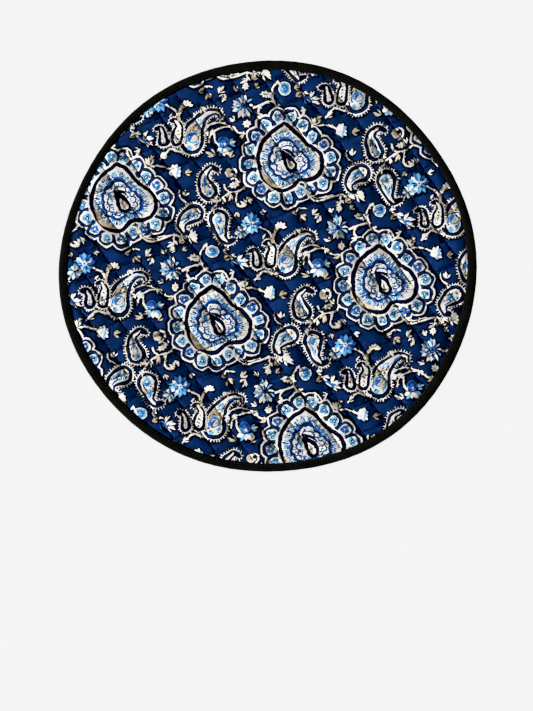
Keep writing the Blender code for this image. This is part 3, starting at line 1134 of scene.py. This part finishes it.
def new_material(name):
    material = bpy.data.materials.new(name)
    material.use_nodes = True
    return material, material.node_tree, material.node_tree.nodes["Principled BSDF"]


def add_relief(tree, shader, height, strength, depth):
    """Fine bumps in the shading, from a height between 0 and 1 and a depth in metres."""
    values = {"Height": height, "Strength": strength, "Distance": depth}
    wire(tree, add_node(tree, "Bump", values).outputs["Normal"], shader.inputs["Normal"])


# %% Node group: plain weave
THREADS = 2300.0
THREAD_DRIFT = 9 * MM
SLUB_SIZE = 0.9 * MM


def weave_group():
    """Over-and-under threads along X and Y, with thick and thin places, and a painted shade that
    follows their height.
    """
    group, given, result = new_group(
        "plain_weave",
        [("Threads per Metre", "Float", THREADS), ("Unevenness", "Float", 0.5)],
        [("Height", "Float"), ("Painted Weave Shade and Slub", "Float")],
    )
    place = own_place(group)
    drift = noise(group, place, THREAD_DRIFT, 1.0)
    split = add_node(group, "SeparateXYZ", {0: place})
    waves = []
    for axis in (0, 1):
        turns = math(group, "MULTIPLY", split.outputs[axis], given.outputs["Threads per Metre"])
        bowed = math(group, "MULTIPLY_ADD", drift, 1.6, turns)
        waves.append(math(group, "SINE", math(group, "MULTIPLY", bowed, np.pi)))
    crossing = math(group, "MULTIPLY", waves[0], waves[1])
    slub = noise(group, place, SLUB_SIZE)
    rough = math(group, "MULTIPLY", math(group, "SUBTRACT", slub, 0.5), given.outputs["Unevenness"])
    height = math(group, "MULTIPLY_ADD", crossing, 0.5, math(group, "ADD", rough, 0.5))
    # Painted shade: the weave's low places come out darker, mixed with the slubs' own tone.
    shade = math(group, "MULTIPLY_ADD", height, 0.5, math(group, "MULTIPLY", slub, 0.5))
    set_inputs(group, result, {"Height": height, "Painted Weave Shade and Slub": shade})
    return group


# %% Node group: uneven dye
CLOUD_SIZE = 13 * MM
SPECK_SIZE = 0.8 * MM
SPECK_LIMIT = 0.62


def dye_group():
    """Cloudy patches, small pale specks, and painted shade where the weave's threads dip, with the
    slubs' own tone.
    """
    group, given, result = new_group(
        "uneven_dye",
        [("Dye", "Color", (0.5, 0.5, 0.5, 1.0)), ("Bare Thread", "Color", (0.5, 0.5, 0.5, 1.0)),
         ("Cloudiness", "Float", 0.3), ("Specks", "Float", 0.2), ("Painted Weave Shade and Slub", "Float", 0.5)],
        [("Color", "Color")],
    )
    place = own_place(group)
    clouds = noise(group, place, CLOUD_SIZE, 3.0, 0.6)
    gain = math(group, "MULTIPLY_ADD", math(group, "SUBTRACT", clouds, 0.5),
                math(group, "MULTIPLY", given.outputs["Cloudiness"], 4.0), 1.0)
    # The dye is darkened by the weave's painted shade and lightened or darkened by its slubs.
    shade = math(group, "SUBTRACT", given.outputs["Painted Weave Shade and Slub"], 0.5)
    threads = math(group, "MULTIPLY_ADD", shade, 0.5, gain)
    values = {0: given.outputs["Dye"], "Scale": threads}
    scaled = add_node(group, "VectorMath", values, operation="SCALE")
    bare = math(group, "GREATER_THAN", noise(group, place, SPECK_SIZE, 2.0, 0.7), SPECK_LIMIT)
    missed = math(group, "MULTIPLY", bare, given.outputs["Specks"])
    dyed = mix_colour(group, missed, scaled.outputs[0], given.outputs["Bare Thread"])
    wire(group, dyed, result.inputs["Color"])
    return group


weave_nodes = weave_group()
dye_nodes = dye_group()

# %% Cotton in one dye
BARE_COTTON = linear(214, 216, 222)


def cloth_finish(name, colour, specks, cloudiness=0.45, threads=THREADS, bump=0.5):
    """Woven cotton in one colour, from the two groups, with its own roughness and bump."""
    material, tree, shader = new_material(name)
    weave = add_node(tree, "Group", {}, node_tree=weave_nodes)
    weave.inputs["Threads per Metre"].default_value = threads
    # The weave's painted shade and slub tone, for the dye's colour and the roughness.
    shade = weave.outputs["Painted Weave Shade and Slub"]
    dye = add_node(tree, "Group", {}, node_tree=dye_nodes)
    set_inputs(tree, dye, {"Dye": linear(*colour), "Bare Thread": BARE_COTTON,
                           "Cloudiness": cloudiness, "Specks": specks, "Painted Weave Shade and Slub": shade})
    rough = math(tree, "MULTIPLY_ADD", shade, 0.12, 0.78)
    set_inputs(tree, shader, {"Base Color": dye.outputs["Color"], "Roughness": rough,
                              "Specular IOR Level": 0.03})
    add_relief(tree, shader, weave.outputs["Height"], bump, 0.12 * MM)
    return material


dyed = [cloth_finish("cotton_" + dye, *DYE_COLOURS[dye]) for dye in DYES]
print("finishes:", ", ".join(material.name for material in dyed))

# %% The printed top
LOWER_FACE = 1.3 * MM
WALLS_IN_A_ROW = 24
MAP_MARGIN = 0.01
CORNER_SHARE = 0.11


def flat_map(mesh, top_count):
    """Maps the top as seen from above, and the hidden faces in corners that the disc leaves free."""
    plan = np.array([corner.co[:2] for corner in mesh.vertices])
    plan = (plan - plan.min(axis=0)) / np.ptp(plan, axis=0).max()
    of_loop = np.zeros(len(mesh.loops), np.int32)
    mesh.loops.foreach_get("vertex_index", of_loop)
    place = plan[of_loop]
    top_loops = mesh.polygons[top_count].loop_start
    last = mesh.polygons[len(mesh.polygons) - 1]
    mapped = MAP_MARGIN + (1 - 2 * MAP_MARGIN) * place
    mapped[last.loop_start:] = MAP_MARGIN + CORNER_SHARE * place[last.loop_start:]
    for number in range(top_count, len(mesh.polygons) - 1):
        row, column = divmod(number - top_count, WALLS_IN_A_ROW)
        start = top_loops + 4 * (number - top_count)
        cell = np.array([column, row]) + ((0.1, 0.1), (0.9, 0.1), (0.9, 0.9), (0.1, 0.9))
        mapped[start:start + 4] = 0.875 + cell * CORNER_SHARE / WALLS_IN_A_ROW
    mesh.uv_layers.new(name="OFBake").data.foreach_set("uv", mapped.ravel())


def build_printed_top():
    """The cut cloth at its height, with the formula's own normals, a wall round it and a floor."""
    flat = corners * MM
    used, numbered = np.unique(faces, return_inverse=True)
    flat, numbered = flat[used], numbered.reshape(-1, 3)
    loop = rim_of(numbered)
    upper = np.column_stack([flat, cloth_height(flat)])
    lower = np.column_stack([flat[loop], np.full(len(loop), LOWER_FACE)])
    first, count = len(upper), len(loop)
    walls = []
    for step in range(count):
        after = (step + 1) % count
        walls.append((loop[step], first + step, first + after, loop[after]))
    floor_face = [tuple(range(first + count - 1, first - 1, -1))]
    all_faces = [tuple(face) for face in numbered] + walls + floor_face
    index = np.concatenate([dyes, np.full(count + 1, DYES.index("ground"))])
    piece = new_piece("printed_top", np.concatenate([upper, lower]), all_faces, dyed, index)
    slope = slopes(cloth_height, flat)
    normals = np.column_stack([-slope, np.ones(len(slope))])
    normals /= np.linalg.norm(normals, axis=1)[:, None]
    downward = np.tile([0, 0, -1.0], (count, 1))
    piece.data.normals_split_custom_set_from_vertices(np.concatenate([normals, downward]).tolist())
    flat_map(piece.data, len(numbered))
    return piece


printed_top = build_printed_top()
print(f"printed top: {len(printed_top.data.polygons)} faces")

# %% [markdown]
# ## The backing
#
# Under the wadding lies a plain cotton cloth. It rests on the table, and along each seam the
# stitches draw it up into a shallow channel. Nobody sees it in the photograph, so it is kept plain:
# a thin closed sheet with the same seams on its underside.

# %% Backing cloth
CHANNEL_DEPTH = 0.45 * MM
CHANNEL_REACH = 3.5 * MM
BACKING_TOP = 1.0 * MM
BACKING_SHARES = (0.0, 0.07, 0.15, 0.5, 0.85, 0.93)


def backing_height(points):
    off = np.minimum(off_seam(points, 0)[1], off_seam(points, 1)[1])
    return CHANNEL_DEPTH * (1 - np.clip(off / CHANNEL_REACH, 0, 1)) ** 2


def sheet_between(name, outline, inner_points, lower_height, upper_height, materials):
    """A closed thin sheet, flat in plan, between two height formulas, both in metres."""
    plan = np.concatenate([outline, inner_points])
    found, plan_faces = triangulate(plan / MM, loop_edges(0, len(outline)), len(outline))
    found = found * MM
    loop = rim_of(plan_faces)
    low = np.column_stack([found, lower_height(found)])
    high = np.column_stack([found, upper_height(found)])
    count = len(found)
    all_faces = [tuple(face) for face in plan_faces + count]
    all_faces += [tuple(face[::-1]) for face in plan_faces]
    for a, b in zip(loop, loop[1:] + loop[:1]):
        all_faces.append((a, b, b + count, a + count))
    return new_piece(name, np.concatenate([low, high]), all_faces, materials)


plain_cotton = cloth_finish("cotton_backing", (150, 170, 196), 0.05, 0.12)
backing_points = between_seams(BACKING_SHARES)
backing_edge = around(lambda angle: binding_width(angle) + FIT_GAP, 360)
inside = np.hypot(*(backing_points - HUB).T) < MEAN_RADIUS - BINDING_WIDTH - 5 * MM
backing = sheet_between("backing", backing_edge, backing_points[inside], backing_height,
                        lambda points: np.full(len(points), BACKING_TOP), [plain_cotton])
print(f"backing: {len(backing.data.polygons)} faces")

# %% [markdown]
# ## The bias tape
#
# The edge is closed with a strip of black cotton cut on the slant, folded round the mat and sewn
# down. Its section is a C, carried round the rim in small steps. Each step may pull the fold in or
# out a little, so that the tape puckers slightly between its stitches as real tape does.

# %% Section of the tape and its path round the rim
TAPE_STEPS = 720
TAPE_THICKNESS = 3.4 * MM
TAPE_WALL = 0.75 * MM
TAPE_CROWN = 0.35 * MM
TOPSTITCH_INSET = 1.5 * MM
FOLD_REACH = 1.1 * MM
FLAT_FROM = 0.14
STITCH_DIP = 0.28 * MM
STITCH_DIP_WIDTH = 0.55 * MM
LIP_DROP = 0.45 * MM
LIP_SHARE = 0.07
TAPE_PUCKER = 0.10 * MM
PUCKER_STEP = 0.95 * MM
FOLD_WAVE = 0.16 * MM
FOLD_WAVE_REACH = 5 * MM


def tape_section(width):
    """Corners of the folded tape as (inset from the rim, height), from the lip underneath round."""
    under_side = np.column_stack([np.linspace(width, width * FLAT_FROM, 6), np.zeros(6)])
    fold_turn = np.linspace(-np.pi / 2, np.pi / 2, 11)[1:-1]
    half = TAPE_THICKNESS / 2
    fold = np.column_stack([FOLD_REACH * (1 - np.cos(fold_turn)), half + half * np.sin(fold_turn)])
    out = np.linspace(0.13, 1.0, 12)
    off_stitch = out * width - width + TOPSTITCH_INSET
    dip = STITCH_DIP * np.exp(-((off_stitch / STITCH_DIP_WIDTH) ** 2))
    drop = LIP_DROP * np.clip((out - 1 + LIP_SHARE) / LIP_SHARE, 0, 1) ** 2
    crown = TAPE_CROWN * np.sin(np.pi * out)
    upper = np.column_stack([out * width, TAPE_THICKNESS + crown - dip - drop])
    low, high, deep = TAPE_WALL, TAPE_THICKNESS - TAPE_WALL, 1.3 * TAPE_WALL
    inner = [(width, high), (deep, high), (deep, low), (width, low)]
    return np.concatenate([under_side, fold, upper, inner])


def build_tape(material):
    """The section carried round the rim, with small puckers on top and slow waves at the fold."""
    rows = []
    for angle in np.linspace(0, TURN, TAPE_STEPS, endpoint=False):
        inset, height = tape_section(binding_width(angle)).T
        near_fold = np.clip(1 - inset / FOLD_WAVE_REACH, 0, 1)
        pull = TAPE_PUCKER * np.sin(angle * MEAN_RADIUS / PUCKER_STEP + 2.2 * np.sin(23 * angle))
        on_top = height > TAPE_THICKNESS - 0.3 * MM
        wave = FOLD_WAVE * np.abs(np.sin(31 * angle + 1.3 * np.sin(17 * angle)))
        radius = rim_radius(angle) - inset - wave * near_fold
        plan = HUB + radius[:, None] * rays(angle)
        rows.append(np.column_stack([plan, height + pull * on_top * (1 - near_fold)]))
    count = len(rows[0])
    all_faces = []
    for step, corner in product(range(TAPE_STEPS), range(count)):
        here, there = step * count, (step + 1) % TAPE_STEPS * count
        after = (corner + 1) % count
        all_faces.append((here + corner, there + corner, there + after, here + after))
    return new_piece("binding_tape", np.concatenate(rows), all_faces, [material])


black_cotton = cloth_finish("cotton_tape", (18, 18, 15), 0.004, 0.3, 1900.0, 0.7)
binding_tape = build_tape(black_cotton)
print(f"binding tape: {len(binding_tape.data.polygons)} faces")

# %% [markdown]
# ## Thread
#
# The quilting is a machine's running stitch in dark blue thread. Each stitch is a short bead
# whose ends dip into the cloth. The beads are about three times as thick as real thread, so their
# near-black also paints the shade of the narrow crease along each seam. A curve with a dash
# pattern would be another way, but small closed beads in one joined mesh export well and catch
# the light one by one.

# %% Beads of thread along a path
BEAD_SHARES = (0.0, 0.28, 0.72, 1.0)
BEAD_HEIGHTS = (-0.10, 0.24, 0.24, -0.10)
BEAD_SIDES = 5


def stitches(name, starts, ends, height_of, thickness, material):
    """One bead for each stitch, from arrays of starts and ends in plan."""
    side = left_of(ends - starts)
    turn = np.linspace(0, TURN, BEAD_SIDES, endpoint=False)
    rings = []
    for share, lift in zip(BEAD_SHARES, BEAD_HEIGHTS):
        middle = starts + (ends - starts) * share
        level = height_of(middle) + lift * MM
        ring = np.zeros((len(starts), BEAD_SIDES, 3))
        for corner, angle in enumerate(turn):
            ring[:, corner, :2] = middle + side * np.cos(angle) * thickness / 2
            ring[:, corner, 2] = level + np.sin(angle) * thickness / 2
        rings.append(ring)
    points = np.stack(rings, axis=1).reshape(-1, 3)
    per_bead = len(BEAD_SHARES) * BEAD_SIDES
    pattern = [tuple(range(BEAD_SIDES))[::-1], tuple(range(per_bead - BEAD_SIDES, per_bead))]
    for ring, corner in product(range(len(BEAD_SHARES) - 1), range(BEAD_SIDES)):
        after = (corner + 1) % BEAD_SIDES
        low, high = ring * BEAD_SIDES, (ring + 1) * BEAD_SIDES
        pattern.append((low + corner, low + after, high + after, high + corner))
    all_faces = []
    for bead in range(len(starts)):
        all_faces += [tuple(bead * per_bead + corner for corner in face) for face in pattern]
    return new_piece(name, points, all_faces, [material])


# %% Stitches along the seams
STITCH_LENGTH = 2.4 * MM
STITCH_GAP = 0.4 * MM
# Painted shade: about three times a real thread, so that the dark beads also fill the crease's shade.
THREAD_AND_CREASE_SHADE_WIDTH = 1.0 * MM
PAST_THE_RIM = 1.1
CLEAR_OF_THE_TAPE = 0.4 * MM
DEEP_SHARE = 0.65


def seam_stitches(family):
    """Starts and ends of the stitches of one set of seams."""
    spacing = QUILT_SEAMS[family][1]
    starts = np.arange(-MEAN_RADIUS, MEAN_RADIUS, STITCH_LENGTH + STITCH_GAP) * PAST_THE_RIM / spacing
    seams, starts = np.meshgrid(np.arange(-SEAMS_OUT, SEAMS_OUT + 1), starts, indexing="ij")
    both, keep = [], True
    for counts in (starts, starts + STITCH_LENGTH / spacing):
        spots = place_of(*((seams, counts) if family == 0 else (counts, seams)))
        angle, radius = polar(spots)
        keep = keep & (radius < tape_lip(angle) - CLEAR_OF_THE_TAPE)
        both.append(spots)
    return both[0][keep], both[1][keep]


def thread_finish(name, colour):
    """Twisted thread: a fine grain in colour and bump, and a slight gloss."""
    material, tree, shader = new_material(name)
    ply = noise(tree, own_place(tree), 0.35 * MM, 1.0)
    tint = mix_colour(tree, ply, linear(*(DEEP_SHARE * value for value in colour)), linear(*colour))
    rough = math(tree, "MULTIPLY_ADD", ply, 0.2, 0.45)
    set_inputs(tree, shader, {"Base Color": tint, "Roughness": rough, "Specular IOR Level": 0.12})
    add_relief(tree, shader, ply, 0.4, 0.08 * MM)
    return material


# Near-black navy, so that the wide beads also paint the shade in the seams' creases.
navy_thread_and_crease_shade = thread_finish("thread_navy_and_crease_shade", (9, 15, 38))
starts, ends = (np.concatenate(spots) for spots in zip(seam_stitches(0), seam_stitches(1)))
quilting_thread_and_crease_shade = stitches("quilting_thread_and_crease_shade", starts, ends, cloth_height,
                           THREAD_AND_CREASE_SHADE_WIDTH, navy_thread_and_crease_shade)
print(f"quilting thread: {len(starts)} stitches, {len(quilting_thread_and_crease_shade.data.polygons)} faces")

# %% Topstitching on the tape
TOPSTITCH_THICKNESS = 0.6 * MM
TOPSTITCH_LENGTH = 2.4 * MM
TOPSTITCH_PITCH = 2.9 * MM
TOPSTITCH_LEVEL = TAPE_THICKNESS - 0.06 * MM


def topstitch_level(points):
    return np.full(len(points), TOPSTITCH_LEVEL)


def tape_stitches():
    """Starts and ends of the stitches of one round, just outside the lip of the tape."""
    start = np.linspace(0, TURN, int(TURN * MEAN_RADIUS / TOPSTITCH_PITCH), endpoint=False)
    angles = np.array([start, start + TOPSTITCH_LENGTH / MEAN_RADIUS])
    return HUB + (tape_lip(angles) + TOPSTITCH_INSET)[:, :, None] * rays(angles)


black_thread = thread_finish("thread_black", (26, 26, 24))
binding_thread = stitches("binding_thread", *tape_stitches(), topstitch_level,
                          TOPSTITCH_THICKNESS, black_thread)
print(f"topstitching: {len(binding_thread.data.polygons)} faces")

# %% [markdown]
# ## The table, the light and the camera
#
# The mat is seen from straight above on a near-white table. A light from the left stands low, so
# that every puff has a bright side and a dark one. A second light from straight above is for the
# table alone, which keeps it evenly pale with hardly a shadow, as in a catalogue picture. The
# world gives a faint even fill, and only to the camera it shows as a pale backdrop, so that low
# views have no grey horizon. The view's curve sets the deepest shades to black and lifts the
# middle tones a little, as a camera does. It belongs to the picture and not to the cloth.

# %% Table
TABLE_SIDE = 12.0
PALE = (243, 243, 243)
PALEST = (247, 247, 247)


def build_table():
    half = TABLE_SIDE / 2
    corners_of_table = [(-half, -half, 0), (half, -half, 0), (half, half, 0), (-half, half, 0)]
    material, tree, shader = new_material("pale_table")
    tint = mix_colour(tree, noise(tree, own_place(tree), 40 * MM), linear(*PALE), linear(*PALEST))
    set_inputs(tree, shader, {"Base Color": tint, "Roughness": 0.8, "Specular IOR Level": 0.1})
    table = new_piece("table", corners_of_table, [(0, 1, 2, 3)], [material])
    return table


table = build_table()

# %% Light from the left
KEY_DIRECTION = 181
KEY_HEIGHT = 23
KEY_STRENGTH = 6.5
KEY_SPREAD = 8
TABLE_STRENGTH = 3.05
TABLE_SPREAD = 50
FILL_STRENGTH = 0.15
BACKDROP_STRENGTH = 1.03
WHITE = (1.0, 1.0, 1.0, 1.0)
DEEPEST_SHADE = 0.0035
TONE_CURVE = ((0.0, 0.0), (0.1, 0.112), (0.3, 0.37), (0.6, 0.68), (1.0, 0.9))


def add_light(name, height, strength, spread, lit):
    """A far light that lights only the pieces named for it."""
    lamp = bpy.data.lights.new(name, "SUN")
    lamp.energy = strength
    lamp.angle = np.radians(spread)
    light = bpy.data.objects.new(name, lamp)
    light.rotation_euler = (0, np.radians(90 - height), np.radians(KEY_DIRECTION))
    bpy.context.scene.collection.objects.link(light)
    receivers = bpy.data.collections.new("lit_by_" + name)
    for piece in lit:
        receivers.objects.link(piece)
    light.light_linking.receiver_collection = receivers


def build_lights():
    mat = [printed_top, backing, binding_tape, quilting_thread_and_crease_shade, binding_thread]
    add_light("key_light", KEY_HEIGHT, KEY_STRENGTH, KEY_SPREAD, mat)
    add_light("table_light", 90, TABLE_STRENGTH, TABLE_SPREAD, [table])


def build_world():
    """A faint even fill, and a white backdrop that only the camera sees."""
    world = bpy.data.worlds.new("soft_fill")
    world.use_nodes = True
    tree = world.node_tree
    fill = tree.nodes["Background"]
    set_inputs(tree, fill, {"Color": WHITE, "Strength": FILL_STRENGTH})
    backdrop = add_node(tree, "Background", {"Color": WHITE, "Strength": BACKDROP_STRENGTH})
    seen = add_node(tree, "LightPath", {}).outputs["Is Camera Ray"]
    either = add_node(tree, "MixShader", {"Fac": seen, 1: fill.outputs[0], 2: backdrop.outputs[0]})
    wire(tree, either.outputs[0], tree.nodes["World Output"].inputs["Surface"])
    bpy.context.scene.world = world


def set_view():
    """The black level and the tone curve of the picture."""
    view = bpy.context.scene.view_settings
    view.view_transform = "Standard"
    view.use_curve_mapping = True
    view.curve_mapping.black_level = (DEEPEST_SHADE,) * 3
    curve = view.curve_mapping.curves[3]
    curve.points[0].location, curve.points[1].location = TONE_CURVE[0], TONE_CURVE[-1]
    for given, shown in TONE_CURVE[1:-1]:
        curve.points.new(given, shown)
    view.curve_mapping.update()


build_lights()
build_world()
set_view()

# %% Camera straight above
VIEW_MIDDLE = HUB + np.array([-1.69, -80.68]) * MM
VIEW_TALL = 652.6 * MM
FOCAL_LENGTH = 85.0
SENSOR = 36.0


def build_camera():
    data = bpy.data.cameras.new("camera")
    data.lens = FOCAL_LENGTH
    data.sensor_fit = "VERTICAL"
    data.sensor_height = SENSOR
    data.clip_start = 0.01
    camera = bpy.data.objects.new("camera", data)
    height = VIEW_TALL * FOCAL_LENGTH / SENSOR
    camera.location = (VIEW_MIDDLE[0], VIEW_MIDDLE[1], height)
    bpy.context.scene.collection.objects.link(camera)
    bpy.context.scene.camera = camera
    return camera


camera = build_camera()

# %% [markdown]
# ## Joining the frame
#
# Every piece rides on the frame's one body. The printed top and its backing stand for the quilted
# panel, and the tape for the edge binding, and the solids they stand for are hidden.

# %% What each piece stands for
PIECES = (
    # piece, solid that it replaces, slot
    (printed_top, "quilted_panel", "printed_cotton"),
    (backing, "quilted_panel", "printed_cotton"),
    (quilting_thread_and_crease_shade, None, "printed_cotton"),
    (binding_tape, "edge_binding", "bias_tape"),
    (binding_thread, None, "bias_tape"),
)
for piece, solid, slot in PIECES:
    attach(piece, "root")
    if solid:
        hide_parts(solid)

# %% The end
bpy.context.view_layer.update()
